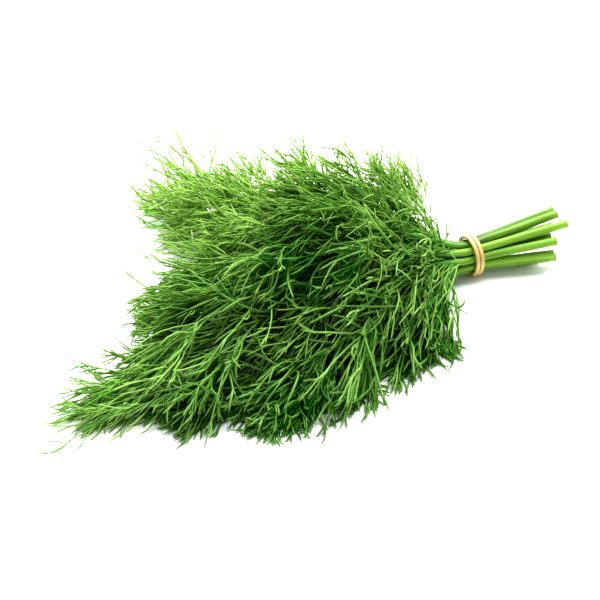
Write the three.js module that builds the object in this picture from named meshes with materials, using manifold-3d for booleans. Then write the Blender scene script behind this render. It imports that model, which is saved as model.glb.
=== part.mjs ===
// A bunch of fresh dill, lying down: leafy stems held by a rubber band that is wound round them twice.
// Millimetres, +Z up. The origin is on the surface under the tie, +X runs along the bunch to the cut ends,
// and the leaves fan out towards -X. Each stem grew as one piece with its fronds, so each is one mesh.

import * as THREE from "three";
import { mergeVertices } from "three/addons/utils/BufferGeometryUtils.js";
import Module from "manifold-3d";

const wasm = await Module();
wasm.setup();

// The bundle of stems in the tie: three stems inside a ring of ten.
const INNER_RING_RADIUS = 2.5;
const OUTER_RING_RADIUS = 6.8;

// Stem radii from the cut end to the growing tip.
const CUT_RADIUS = 2.15;
const TIE_RADIUS = 1.95;
const NECK_RADIUS = 1.6;
const NECK_SHARE = 0.25;
const TIP_RADIUS = 0.62;
const STEM_SIDES = 6;

// The rubber band: a flat strand that goes round twice, side by side, and crosses over itself once.
const BAND = {
  innerRadius: 9.1,
  thickness: 1.5,
  width: 2.1,
  pitch: 2.45,
  firstTurnX: -0.4,
  crossingDeg: 340,
  crossingTurns: 0.07,
  squash: 0.35,
  stepsPerTurn: 30,
};
const BAND_OUTER_RADIUS = BAND.innerRadius + BAND.thickness;
const TIE_HEIGHT = BAND_OUTER_RADIUS - BAND.squash;

// One row a stem. seat is its place in the tie: a ring and an angle in degrees, from the near side (-Y)
// over the top. heading is where the foliage goes, in degrees from -X towards -Y. reach is how far the
// tip lies from the tie, crest the height of the arch, tip the height of the tip, cut the free length
// past the tie, fronds how many side fronds grow on the stem, and span their share of the usual length.
const STEMS = [
  { seat: ["outer", 18], heading: 30, reach: 135, crest: 26, tip: 3, cut: 40, fronds: 5, span: 0.8 },
  { seat: ["outer", 54], heading: 7, reach: 205, crest: 36, tip: 5, cut: 48, fronds: 4, span: 1 },
  { seat: ["outer", 90], heading: -5, reach: 160, crest: 46, tip: 10, cut: 46, fronds: 6, span: 0.9 },
  { seat: ["outer", 126], heading: -31, reach: 145, crest: 42, tip: 12, cut: 48, fronds: 6, span: 1 },
  { seat: ["outer", 162], heading: -42, reach: 122, crest: 26, tip: 20, cut: 48, fronds: 5, span: 0.9 },
  { seat: ["outer", 198], heading: -50, reach: 168, crest: 18, tip: 15, cut: 45, fronds: 7, span: 1 },
  { seat: ["outer", 234], heading: -38, reach: 155, crest: 15, tip: 5, cut: 40, fronds: 5, span: 1 },
  { seat: ["outer", 270], heading: -8, reach: 160, crest: 10, tip: 5, cut: 38, fronds: 5, span: 1 },
  { seat: ["outer", 306], heading: 12, reach: 232, crest: 8, tip: 4, cut: 43, fronds: 5, span: 0.75 },
  { seat: ["outer", 342], heading: 20, reach: 155, crest: 11, tip: 3, cut: 39, fronds: 5, span: 1 },
  { seat: ["inner", 30], heading: 12, reach: 195, crest: 24, tip: 5, cut: 41, fronds: 5, span: 1.1 },
  { seat: ["inner", 150], heading: -17, reach: 150, crest: 34, tip: 9, cut: 46, fronds: 6, span: 0.8 },
  { seat: ["inner", 270], heading: 2, reach: 180, crest: 17, tip: 4, cut: 39, fronds: 4, span: 0.8 },
];

// Fronds that stand out low on a stem, just past the tie. The angles are the heading, as above, and the
// lift over level.
const FOOT_FRONDS = [
  { stem: 1, heading: 54, lift: 0, length: 52 },
  { stem: 10, heading: 52, lift: 8, length: 60 },
  { stem: 4, heading: -82, lift: 40, length: 58 },
  { stem: 5, heading: -85, lift: 38, length: 52 },
];
const FOOT_FROND_SHARE = 0.09;

// The stems run straight this far to each side of the tie. Past it the cut ends fan out to a multiple of
// their place in the tie, and the whole fan drifts to the near side and up.
const TIE_STRAIGHT = 6;
const CUT_SPREAD = 1.7;
const CUT_DRIFT_Y = -5;
const CUT_LIFT = 3.9;

// Fronds: where they leave the stem, and their angle to it and their length at its foot and at its tip.
const FROND_FIRST = 0.13;
const FROND_LAST = 0.8;
const FROND_ANGLE_DEG = [54, 17];
const FROND_LENGTH = [68, 44];
const FROND_LIFT_DEG = [-30, 62];
const FROND_RADIUS = 0.9;
const FROND_TAPER = 0.3;
const FROND_DROOP = 16;
const FROND_BEND = 0.18;
const FROND_SIDES = 3;
const FROND_STEPS = 4;
const FROND_BARE = 0.25;

// Leaf threads along a frond, and along the last stretch of each stem. They are longest a third of the
// way along.
const THREADS_PER_FROND = 10;
const THREADS_PER_TIP = 10;
const THREAD_LENGTH = 31;
const SHORTEST_THREAD = 0.45;
const THREAD_RADIUS = 0.42;
const THREAD_SPREAD_DEG = 38;
const THREAD_ROLL_DEG = 40;
const THREAD_DROOP = 3;

// Neighbouring pieces stay this far apart, and nothing runs lower than this over the surface.
const CLEARANCE = 0.35;
const FLOOR_HEIGHT = 0.36;
const TRIES = 28;
const MERGE_TOLERANCE = 0.03;

const UP = new THREE.Vector3(0, 0, 1);
const radians = THREE.MathUtils.degToRad;

// A number from 0 to 1 that depends only on the keys, so each draw stands by itself.
function draw(...keys) {
  const weights = [12.9898, 78.233, 37.719, 9.151];
  const sum = keys.reduce((total, key, i) => total + (key + 1) * weights[i], 0);
  const spun = Math.sin(sum) * 43758.5453;
  return spun - Math.floor(spun);
}

function drawBetween(low, high, ...keys) {
  return low + (high - low) * draw(...keys);
}

// ---- Meshes and solids ----

// A closed mesh through rings of points, pressed flat where it would sink below the surface. A ring of
// one point is a pointed end, and a loop closes on itself.
function skin(rings, loop = false) {
  const positions = [];
  const starts = rings.map((ring) => {
    const start = positions.length / 3;
    ring.forEach((p) => positions.push(p.x, p.y, Math.max(p.z, 0)));
    return start;
  });
  const index = [];
  const stretches = loop ? rings.length : rings.length - 1;
  for (let i = 0; i < stretches; i++) {
    const [a, b] = [rings[i], rings[(i + 1) % rings.length]];
    const [s, t] = [starts[i], starts[(i + 1) % rings.length]];
    for (let k = 0; k < a.length; k++) {
      const next = (k + 1) % a.length;
      if (b.length === 1) {
        index.push(s + k, s + next, t);
      } else {
        index.push(s + k, s + next, t + next, s + k, t + next, t + k);
      }
    }
  }
  if (!loop) {
    capEnd(index, starts[0], rings[0].length, true);
    capEnd(index, starts.at(-1), rings.at(-1).length, false);
  }
  const geometry = new THREE.BufferGeometry();
  geometry.setAttribute("position", new THREE.Float32BufferAttribute(positions, 3));
  geometry.setIndex(index);
  return geometry;
}

function capEnd(index, start, count, facesBack) {
  for (let k = 1; k < count - 1; k++) {
    const fan = facesBack ? [start, start + k + 1, start + k] : [start, start + k, start + k + 1];
    index.push(...fan);
  }
}

function solidOf(geometry) {
  const merged = mergeVertices(geometry, 1e-4);
  return new wasm.Manifold(
    new wasm.Mesh({
      numProp: 3,
      vertProperties: merged.attributes.position.array,
      triVerts: new Uint32Array(merged.index.array),
    }),
  );
}

function geometryOf(solid) {
  const mesh = solid.getMesh();
  const geometry = new THREE.BufferGeometry();
  geometry.setAttribute("position", new THREE.BufferAttribute(mesh.vertProperties, 3));
  geometry.setIndex(new THREE.BufferAttribute(mesh.triVerts, 1));
  geometry.computeVertexNormals();
  return geometry;
}

// The two directions across a path that runs along tangent.
function across(tangent) {
  const side = new THREE.Vector3().crossVectors(UP, tangent);
  if (side.lengthSq() < 1e-4) side.set(0, 1, 0);
  side.normalize();
  return [side, new THREE.Vector3().crossVectors(tangent, side).normalize()];
}

// A tapering tube through points, with a radius at each. A radius of 0 makes a pointed end.
function tube(points, radii, sides) {
  const rings = points.map((point, i) => {
    if (radii[i] === 0) return [point];
    const before = points[Math.max(i - 1, 0)];
    const after = points[Math.min(i + 1, points.length - 1)];
    const [side, over] = across(new THREE.Vector3().subVectors(after, before).normalize());
    return Array.from({ length: sides }, (_, k) => {
      const angle = (k / sides) * 2 * Math.PI;
      return point
        .clone()
        .addScaledVector(side, radii[i] * Math.cos(angle))
        .addScaledVector(over, radii[i] * Math.sin(angle));
    });
  });
  return solidOf(skin(rings));
}

// ---- Room between the branches ----

const occupied = [];

function segmentsOf(points, radii, branch) {
  return points.slice(1).map((b, i) => {
    const a = points[i];
    const middle = new THREE.Vector3().addVectors(a, b).multiplyScalar(0.5);
    const reach = a.distanceTo(b) / 2;
    return { a, b, middle, reach, radius: Math.max(radii[i], radii[i + 1]), branch };
  });
}

// The shortest way between two straight segments.
function gapBetween(first, second) {
  const u = new THREE.Vector3().subVectors(first.b, first.a);
  const v = new THREE.Vector3().subVectors(second.b, second.a);
  const w = new THREE.Vector3().subVectors(first.a, second.a);
  const [a, b, c, d, e] = [u.dot(u), u.dot(v), v.dot(v), u.dot(w), v.dot(w)];
  const denominator = a * c - b * b;
  let s = denominator > 1e-9 ? (b * e - c * d) / denominator : 0;
  s = Math.min(Math.max(s, 0), 1);
  let t = c > 0 ? (b * s + e) / c : 0;
  t = Math.min(Math.max(t, 0), 1);
  s = a > 0 ? Math.min(Math.max((b * t - d) / a, 0), 1) : 0;
  return w.addScaledVector(u, s).addScaledVector(v, -t).length();
}

function isClear(mine, other) {
  const needed = mine.radius + other.radius + CLEARANCE;
  const apart = mine.middle.distanceTo(other.middle) - mine.reach - other.reach;
  return apart > needed || gapBetween(mine, other) > needed;
}

// Takes the room that a branch needs, if nothing has any of it but the parent that it grows from.
function claimRoom(points, radii, branch, parent) {
  const segments = segmentsOf(points, radii, branch);
  const others = occupied.filter((segment) => segment.branch !== parent);
  if (!segments.every((mine) => others.every((other) => isClear(mine, other)))) return false;
  occupied.push(...segments);
  return true;
}

// The point and direction at a share of a path, on the straight stretches between its points.
function placeOn(points, share) {
  const position = Math.min(share, 0.9999) * (points.length - 1);
  const i = Math.floor(position);
  const tangent = new THREE.Vector3().subVectors(points[i + 1], points[i]).normalize();
  return { point: points[i].clone().lerp(points[i + 1], position - i), tangent };
}

// ---- Stems ----

function seatOf([ring, degrees]) {
  const radius = ring === "outer" ? OUTER_RING_RADIUS : INNER_RING_RADIUS;
  const angle = radians(degrees);
  return { y: -radius * Math.cos(angle), z: radius * Math.sin(angle) };
}

function stemCurve(stem) {
  const seat = seatOf(stem.seat);
  const heading = radians(stem.heading);
  const along = (share, height) =>
    new THREE.Vector3(
      -stem.reach * share * Math.cos(heading * share ** 0.5),
      -stem.reach * share * Math.sin(heading * share ** 0.5) + seat.y * (1 - share),
      height,
    );
  const tieZ = TIE_HEIGHT + seat.z;
  return new THREE.CatmullRomCurve3(
    [
      new THREE.Vector3(
        stem.cut,
        seat.y * CUT_SPREAD + CUT_DRIFT_Y,
        TIE_HEIGHT + CUT_LIFT + seat.z * CUT_SPREAD,
      ),
      new THREE.Vector3(TIE_STRAIGHT, seat.y, tieZ),
      new THREE.Vector3(-TIE_STRAIGHT, seat.y, tieZ),
      along(0.22, tieZ * 0.5 + stem.crest * 0.5),
      along(0.5, stem.crest),
      along(0.78, stem.crest * 0.55 + stem.tip * 0.45),
      along(1, stem.tip),
    ],
    false,
    "centripetal",
  );
}

// Where the foliage begins on the curve's own parameter, from 0 at the cut end to 1 at the tip.
const AT_TIE = 1 / 3;
const leafy = (share) => AT_TIE + (1 - AT_TIE) * share;

function stemRadius(t) {
  const { lerp } = THREE.MathUtils;
  if (t < AT_TIE) return lerp(CUT_RADIUS, TIE_RADIUS, t / AT_TIE);
  const share = (t - AT_TIE) / (1 - AT_TIE);
  if (share < NECK_SHARE) return lerp(TIE_RADIUS, NECK_RADIUS, share / NECK_SHARE);
  return lerp(NECK_RADIUS, TIP_RADIUS, (share - NECK_SHARE) / (1 - NECK_SHARE));
}

// Where the rings of a stem are on that parameter, and the ring where threads begin on the stem itself.
const STEM_PARAMETERS = [0, 0.17, 0.28, 0.33, 0.38, 0.45, 0.52, 0.6, 0.68, 0.76, 0.84, 0.92, 1];
const TIP_START = 8;

const plants = STEMS.map((stem, owner) => {
  const curve = stemCurve(stem);
  const points = STEM_PARAMETERS.map((t) => curve.getPoint(t));
  const radii = STEM_PARAMETERS.map((t) => (t === 1 ? 0 : stemRadius(t)));
  const branch = `stem ${owner}`;
  occupied.push(...segmentsOf(points, radii, branch));
  return { stem, owner, branch, curve, points, solids: [tube(points, radii, STEM_SIDES)], fronds: [] };
});

// ---- Fronds ----

// The rib of a frond: it sets off in its own direction, bends along the stem and droops.
function ribPoints(root, stemward, direction, length) {
  return Array.from({ length: FROND_STEPS + 1 }, (_, k) => {
    const t = k / FROND_STEPS;
    const bend = length * FROND_BEND * t * t;
    const point = root.clone().addScaledVector(direction, length * t - bend);
    point.addScaledVector(stemward, bend);
    point.z = Math.max(point.z - FROND_DROOP * t * t, FLOOR_HEIGHT);
    return point;
  });
}

function sideFrond(plant, number, attempt) {
  const { stem, owner, curve } = plant;
  const step = (FROND_LAST - FROND_FIRST) / stem.fronds;
  const share = FROND_FIRST + step * (number + drawBetween(0.1, 0.9, owner, number, 1));
  const tangent = curve.getTangent(leafy(share));
  const [side] = across(tangent);
  const hand = number % 2 ? 1 : -1;
  const lift = radians(drawBetween(...FROND_LIFT_DEG, owner, number, 2 + attempt));
  const [wide, narrow] = FROND_ANGLE_DEG;
  const opening = THREE.MathUtils.lerp(wide, narrow, share);
  const angle = radians(opening * drawBetween(0.75, 1.25, owner, number, 40 + attempt));
  const [long, short] = FROND_LENGTH;
  const usual = THREE.MathUtils.lerp(long, short, share);
  const length = usual * stem.span * drawBetween(0.85, 1.1, owner, number, 80);
  const outward = side.multiplyScalar(hand * Math.cos(lift)).addScaledVector(UP, Math.sin(lift));
  const direction = tangent.clone().multiplyScalar(Math.cos(angle));
  direction.addScaledVector(outward, Math.sin(angle));
  return ribPoints(curve.getPoint(leafy(share)), tangent, direction, length);
}

function footFrond(plant, foot, attempt) {
  const sway = (key) => drawBetween(-1, 1, plant.owner, foot.length, key + attempt) * attempt;
  const heading = radians(foot.heading + sway(3));
  const lift = radians(foot.lift + sway(60));
  const level = Math.cos(lift);
  const direction = new THREE.Vector3(-Math.cos(heading) * level, -Math.sin(heading) * level, Math.sin(lift));
  const tangent = plant.curve.getTangent(leafy(FOOT_FROND_SHARE));
  return ribPoints(plant.curve.getPoint(leafy(FOOT_FROND_SHARE)), tangent, direction, foot.length);
}

// Grows a frond where it has room, with a new draw of its direction for each try.
function growFrond(plant, number, pointsAt) {
  const radii = Array.from({ length: FROND_STEPS + 1 }, (_, k) =>
    k === FROND_STEPS ? 0 : FROND_RADIUS * (1 - FROND_TAPER * (k / FROND_STEPS)),
  );
  const branch = `${plant.branch} frond ${number}`;
  for (let attempt = 0; attempt < TRIES; attempt++) {
    const points = pointsAt(attempt);
    if (!claimRoom(points, radii, branch, plant.branch)) continue;
    plant.solids.push(tube(points, radii, FROND_SIDES));
    plant.fronds.push({ points, number, branch });
    return;
  }
}

// ---- Leaf threads ----

// One thread, a slim needle that leaves the rib forwards and droops a little.
function threadPoints(rib, t, hand, keys, attempt) {
  const { point: root, tangent } = placeOn(rib.points, t);
  const [side, over] = across(tangent);
  const roll = radians(drawBetween(-THREAD_ROLL_DEG, THREAD_ROLL_DEG, ...keys, attempt));
  const opening = radians(THREAD_SPREAD_DEG * drawBetween(0.75, 1.3, ...keys, 50 + attempt));
  const fullness = THREE.MathUtils.lerp(SHORTEST_THREAD, 1, Math.sin(Math.PI * (0.3 + 0.6 * t)));
  const length = THREAD_LENGTH * fullness * drawBetween(0.8, 1.15, ...keys, 100);
  const outward = side.multiplyScalar(hand * Math.cos(roll)).addScaledVector(over, Math.sin(roll));
  const heading = tangent.clone().multiplyScalar(Math.cos(opening));
  heading.addScaledVector(outward, Math.sin(opening));
  const end = root.clone().addScaledVector(heading, length);
  end.z = Math.max(end.z - THREAD_DROOP, FLOOR_HEIGHT);
  return [root, end];
}

function growThreads(plant, rib, from, count) {
  for (let i = 0; i < count; i++) {
    const t = from + ((1 - from) * (i + 0.5)) / count;
    const hand = i % 2 ? 1 : -1;
    const keys = [plant.owner, rib.number, i];
    const radii = [THREAD_RADIUS, 0];
    for (let attempt = 0; attempt < TRIES; attempt++) {
      const points = threadPoints(rib, t, hand, keys, attempt);
      if (!claimRoom(points, radii, `${rib.branch} thread ${i}`, rib.branch)) continue;
      plant.solids.push(tube(points, radii, 3));
      break;
    }
  }
}

// Every stem grows its first frond before any grows its second, so that all get their share of the room.
const mostFronds = Math.max(...STEMS.map((stem) => stem.fronds));
FOOT_FRONDS.forEach((foot, i) => {
  const plant = plants[foot.stem - 1];
  growFrond(plant, mostFronds + 1 + i, (attempt) => footFrond(plant, foot, attempt));
});
for (let number = 0; number < mostFronds; number++) {
  for (const plant of plants.filter(({ stem }) => number < stem.fronds)) {
    growFrond(plant, number, (attempt) => sideFrond(plant, number, attempt));
  }
}
for (const plant of plants) {
  const { points, branch } = plant;
  const growingTip = { points: points.slice(TIP_START), number: mostFronds, branch };
  growThreads(plant, growingTip, 0, THREADS_PER_TIP);
  plant.fronds.forEach((rib) => growThreads(plant, rib, FROND_BARE, THREADS_PER_FROND));
}

// ---- The rubber band ----

// The strand's middle at a number of turns from 0 to 2: where it lies along the bunch, and how far it
// is lifted off its first layer. It changes sides at every whole turn and passes over itself at 0.
function strandPlace(turns) {
  const { pitch, firstTurnX, crossingTurns, thickness } = BAND;
  const sinceLift = turns > 1 ? turns - 2 : turns;
  const changed = (since) => THREE.MathUtils.smoothstep(since, -crossingTurns, crossingTurns);
  const onSecond = Math.abs(turns - 1) < 0.5 ? changed(turns - 1) : 1 - changed(sinceLift);
  const rise = 1 - THREE.MathUtils.smoothstep(Math.abs(sinceLift), crossingTurns * 0.8, crossingTurns * 2.4);
  return { x: firstTurnX + pitch * onSecond, lift: rise * (thickness + CLEARANCE) };
}

function bandSolid() {
  const { innerRadius, thickness, width, crossingDeg, stepsPerTurn } = BAND;
  const middle = innerRadius + thickness / 2;
  const section = [
    [-0.5, 0],
    [-0.34, 0.5],
    [0.34, 0.5],
    [0.5, 0],
    [0.34, -0.5],
    [-0.34, -0.5],
  ];
  const rings = Array.from({ length: 2 * stepsPerTurn }, (_, i) => {
    const turns = (i + 0.5) / stepsPerTurn;
    const angle = radians(crossingDeg) - turns * 2 * Math.PI;
    const { x, lift } = strandPlace(turns);
    return section.map(([along, out]) => {
      const radius = middle + lift + out * thickness;
      return new THREE.Vector3(
        x + along * width,
        radius * Math.cos(angle),
        TIE_HEIGHT + radius * Math.sin(angle),
      );
    });
  });
  return solidOf(skin(rings, true));
}

// ---- The bunch ----

// All that grows on one stem, as one solid, with sliver triangles smoothed away and loose scraps left out.
function fuse(solids) {
  const whole = wasm.Manifold.union(solids).simplify(MERGE_TOLERANCE);
  const pieces = whole.decompose();
  return pieces.reduce((largest, piece) => (piece.volume() > largest.volume() ? piece : largest));
}

const leafGreen = new THREE.MeshStandardMaterial({ color: "#5fa336", roughness: 0.55, metalness: 0 });
const rubberTan = new THREE.MeshStandardMaterial({ color: "#d6b679", roughness: 0.6, metalness: 0 });

const dillBunch = new THREE.Group();
dillBunch.name = "dill_bunch";

const band = new THREE.Mesh(geometryOf(bandSolid()), rubberTan);
band.name = "rubber_band";
dillBunch.add(band);

plants.forEach((plant, i) => {
  const leafyStem = new THREE.Mesh(geometryOf(fuse(plant.solids)), leafGreen);
  leafyStem.name = `leafy_stem_${String(i + 1).padStart(2, "0")}`;
  dillBunch.add(leafyStem);
});

export default dillBunch;
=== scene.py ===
"""A bunch of fresh dill, lying down, tied with a rubber band.

The stems, fronds and rubber band are grown from the same driving dimensions as the solid model, so
every frond lies where its solid is. Lengths are in millimetres and become metres as a mesh is made.
"""

import math

import bpy
import numpy as np
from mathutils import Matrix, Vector


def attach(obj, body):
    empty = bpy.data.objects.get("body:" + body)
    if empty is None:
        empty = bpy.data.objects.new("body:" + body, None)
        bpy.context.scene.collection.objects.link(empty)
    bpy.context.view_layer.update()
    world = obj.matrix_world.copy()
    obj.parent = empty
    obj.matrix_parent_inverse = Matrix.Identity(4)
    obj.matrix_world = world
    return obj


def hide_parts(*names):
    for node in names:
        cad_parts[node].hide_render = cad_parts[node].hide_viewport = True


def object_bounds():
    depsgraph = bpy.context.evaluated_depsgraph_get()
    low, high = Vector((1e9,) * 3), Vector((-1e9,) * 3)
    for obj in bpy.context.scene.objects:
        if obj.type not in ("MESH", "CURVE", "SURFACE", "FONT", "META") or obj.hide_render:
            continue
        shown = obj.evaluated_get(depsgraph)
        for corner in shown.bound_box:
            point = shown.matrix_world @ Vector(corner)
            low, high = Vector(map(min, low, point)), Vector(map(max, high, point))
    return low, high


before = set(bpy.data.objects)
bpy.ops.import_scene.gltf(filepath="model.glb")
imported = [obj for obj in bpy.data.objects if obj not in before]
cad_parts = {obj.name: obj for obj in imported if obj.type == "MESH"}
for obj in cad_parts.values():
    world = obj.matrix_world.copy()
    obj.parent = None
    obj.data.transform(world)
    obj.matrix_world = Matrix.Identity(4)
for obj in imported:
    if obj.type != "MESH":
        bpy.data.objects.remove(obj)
CAD_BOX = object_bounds()
BODY = "root"
MM = 0.001

bl_info = {
    "name": "Dill bunch",
    "version": (1, 0, 0),
    "blender": (4, 5, 0),
    "location": "View3D > Sidebar > Dill",
    "description": "Grows a tied bunch of fresh dill, stem by stem and thread by thread",
    "category": "Object",
}

# ---- The growth plan, in millimetres and degrees, as in the solid model ----

INNER_RING_RADIUS = 2.5
OUTER_RING_RADIUS = 6.8
CUT_RADIUS = 2.15
TIE_RADIUS = 1.95
NECK_RADIUS = 1.6
NECK_SHARE = 0.25
TIP_RADIUS = 0.62

BAND_INNER_RADIUS = 9.1
BAND_THICKNESS = 1.5
BAND_WIDTH = 2.1
BAND_PITCH = 2.45
BAND_FIRST_TURN_X = -0.4
BAND_CROSSING_DEG = 340
BAND_CROSSING_TURNS = 0.07
BAND_SQUASH = 0.35
TIE_HEIGHT = BAND_INNER_RADIUS + BAND_THICKNESS - BAND_SQUASH

# One row a stem: ring and angle of its seat in the tie, heading, reach, crest, tip height, free length
# past the tie, and the number and span of its side fronds.
STEMS = [
    ("outer", 18, 30, 135, 26, 3, 40, 5, 0.8),
    ("outer", 54, 7, 205, 36, 5, 48, 4, 1),
    ("outer", 90, -5, 160, 46, 10, 46, 6, 0.9),
    ("outer", 126, -31, 145, 42, 12, 48, 6, 1),
    ("outer", 162, -42, 122, 26, 20, 48, 5, 0.9),
    ("outer", 198, -50, 168, 18, 15, 45, 7, 1),
    ("outer", 234, -38, 155, 15, 5, 40, 5, 1),
    ("outer", 270, -8, 160, 10, 5, 38, 5, 1),
    ("outer", 306, 12, 232, 8, 4, 43, 5, 0.75),
    ("outer", 342, 20, 155, 11, 3, 39, 5, 1),
    ("inner", 30, 12, 195, 24, 5, 41, 5, 1.1),
    ("inner", 150, -17, 150, 34, 9, 46, 6, 0.8),
    ("inner", 270, 2, 180, 17, 4, 39, 4, 0.8),
]
SEAT_RING, SEAT_DEG, HEADING, REACH, CREST, TIP, CUT, FRONDS, SPAN = range(9)

# Fronds that stand out low on a stem: stem number from 0, heading, lift and length.
FOOT_FRONDS = [(0, 54, 0, 52), (9, 52, 8, 60), (3, -82, 40, 58), (4, -85, 38, 52)]
FOOT_FROND_SHARE = 0.09

# The stems run straight this far to each side of the tie. Past it the cut ends fan out and drift.
TIE_STRAIGHT = 6
CUT_SPREAD = 1.7
CUT_DRIFT_Y = -5
CUT_LIFT = 3.9

# Fronds: where they leave the stem, and their angle to it and their length at its foot and at its tip.
FROND_FIRST = 0.13
FROND_LAST = 0.8
FROND_ANGLE_DEG = (54, 17)
FROND_LENGTH = (68, 44)
FROND_LIFT_DEG = (-30, 62)
FROND_RADIUS = 0.9
FROND_TAPER = 0.3
FROND_DROOP = 16
FROND_BEND = 0.18
FROND_STEPS = 4
FROND_BARE = 0.25

# Solid branches stay this far apart, and none runs lower than this over the surface.
CLEARANCE = 0.35
FLOOR_HEIGHT = 0.36
TRIES = 28

# Places on a stem's curve, from 0 at its cut end to 1 at its tip: the tie, the rings of its solid, where
# threads grow on the stem itself, and where leaves begin. Among the leaves, the drawn stem slims to
# LEAFY_SLIM of its solid's radius over LEAFY_SLIM_LENGTH.
AT_TIE = 1 / 3
STEM_PARAMETERS = [0, 0.17, 0.28, 0.33, 0.38, 0.45, 0.52, 0.6, 0.68, 0.76, 0.84, 0.92, 1]
TIP_START = 0.68
LEAFY_START = 0.345
LEAFY_SLIM = 0.5
LEAFY_SLIM_LENGTH = 0.3

UP = np.array([0.0, 0.0, 1.0])


# ---- Vectors and paths ----


def unit(v):
    """v, or each row of it, at length one."""
    return v / np.maximum(np.linalg.norm(v, axis=-1, keepdims=True), 1e-9)


def across(tangent):
    """The two directions across a path that runs along tangent: sideways and over."""
    side = np.cross(UP, tangent)
    steep = np.linalg.norm(side, axis=-1, keepdims=True) < 1e-2
    side = unit(np.where(steep, np.array([0.0, 1.0, 0.0]), side))
    return side, unit(np.cross(tangent, side))


def mix(a, b, share):
    return a + (b - a) * share


def rise(value, start, width):
    """From 0 up to start to 1 from a width past it, in a straight line."""
    return np.clip((value - start) / width, 0, 1)


def smoothstep(value, low, high):
    t = np.clip((value - low) / (high - low), 0, 1)
    return t * t * (3 - 2 * t)


def draw(*keys):
    """A number from 0 to 1 that depends only on the keys, the same as the solid model draws."""
    weights = (12.9898, 78.233, 37.719, 9.151)
    spun = math.sin(sum((key + 1) * w for key, w in zip(keys, weights))) * 43758.5453
    return spun - math.floor(spun)


def draw_between(low, high, *keys):
    return low + (high - low) * draw(*keys)


def curve_point(knots, t):
    """The point at t, from 0 to 1, on the centripetal spline through the knots."""
    position = min(t, 1) * (len(knots) - 1)
    i = min(int(position), len(knots) - 2)
    w = position - i
    p1, p2 = knots[i], knots[i + 1]
    p0 = knots[i - 1] if i > 0 else 2 * p1 - p2
    p3 = knots[i + 2] if i + 2 < len(knots) else 2 * p2 - p1
    d0, d1, d2 = (math.sqrt(np.linalg.norm(b - a)) for a, b in ((p0, p1), (p1, p2), (p2, p3)))
    m1 = ((p1 - p0) / d0 - (p2 - p0) / (d0 + d1) + (p2 - p1) / d1) * d1
    m2 = ((p2 - p1) / d1 - (p3 - p1) / (d1 + d2) + (p3 - p2) / d2) * d1
    c2 = 3 * (p2 - p1) - 2 * m1 - m2
    c3 = 2 * (p1 - p2) + m1 + m2
    return p1 + m1 * w + c2 * w**2 + c3 * w**3


def curve_tangent(knots, t):
    step = 1e-4
    return unit(curve_point(knots, min(t + step, 1)) - curve_point(knots, max(t - step, 0)))


def smooth_path(knots, count):
    return np.array([curve_point(knots, t) for t in np.linspace(0, 1, count)])


def on_paths(paths, share):
    """The points and directions at shares of many paths: paths (n, rings, 3), share (n, count)."""
    position = np.clip(share, 0, 0.9999) * (paths.shape[1] - 1)
    i = position.astype(int)
    rows = np.arange(len(paths))[:, None]
    before, after = paths[rows, i], paths[rows, i + 1]
    w = (position - i)[..., None]
    return before + (after - before) * w, unit(after - before)


# ---- The skeleton: stems, and the ribs of their fronds ----

occupied = []


def segments_of(points, radii, branch):
    return [
        (points[i], points[i + 1], max(radii[i], radii[i + 1]), branch)
        for i in range(len(points) - 1)
    ]


def gap_between(first, second):
    """The shortest way between two straight segments."""
    u, v, w = first[1] - first[0], second[1] - second[0], first[0] - second[0]
    a, b, c, d, e = u @ u, u @ v, v @ v, u @ w, v @ w
    denominator = a * c - b * b
    s = (b * e - c * d) / denominator if denominator > 1e-9 else 0
    s = min(max(s, 0), 1)
    t = (b * s + e) / c if c > 0 else 0
    t = min(max(t, 0), 1)
    s = min(max((b * t - d) / a, 0), 1) if a > 0 else 0
    return np.linalg.norm(w + u * s - v * t)


def is_clear(mine, other):
    return gap_between(mine, other) > mine[2] + other[2] + CLEARANCE


def claim_room(points, radii, branch, parent):
    """Takes the room that a branch needs, if nothing has it but the parent that it grows from."""
    segments = segments_of(points, radii, branch)
    others = [segment for segment in occupied if segment[3] != parent]
    if not all(is_clear(mine, other) for mine in segments for other in others):
        return False
    occupied.extend(segments)
    return True


def seat_of(stem):
    radius = OUTER_RING_RADIUS if stem[SEAT_RING] == "outer" else INNER_RING_RADIUS
    angle = math.radians(stem[SEAT_DEG])
    return -radius * math.cos(angle), radius * math.sin(angle)


def stem_knots(stem):
    seat_y, seat_z = seat_of(stem)
    heading = math.radians(stem[HEADING])
    tie_z = TIE_HEIGHT + seat_z

    def along(share, height):
        turn = heading * share**0.5
        x = -stem[REACH] * share * math.cos(turn)
        return (x, -stem[REACH] * share * math.sin(turn) + seat_y * (1 - share), height)

    knots = [
        (stem[CUT], seat_y * CUT_SPREAD + CUT_DRIFT_Y, TIE_HEIGHT + CUT_LIFT + seat_z * CUT_SPREAD),
        (TIE_STRAIGHT, seat_y, tie_z),
        (-TIE_STRAIGHT, seat_y, tie_z),
        along(0.22, tie_z * 0.5 + stem[CREST] * 0.5),
        along(0.5, stem[CREST]),
        along(0.78, stem[CREST] * 0.55 + stem[TIP] * 0.45),
        along(1, stem[TIP]),
    ]
    return np.array(knots, float)


def leafy(share):
    return AT_TIE + (1 - AT_TIE) * share


def stem_radius(t):
    if t < AT_TIE:
        return mix(CUT_RADIUS, TIE_RADIUS, t / AT_TIE)
    share = (t - AT_TIE) / (1 - AT_TIE)
    if share < NECK_SHARE:
        return mix(TIE_RADIUS, NECK_RADIUS, share / NECK_SHARE)
    return mix(NECK_RADIUS, TIP_RADIUS, (share - NECK_SHARE) / (1 - NECK_SHARE))


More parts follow.
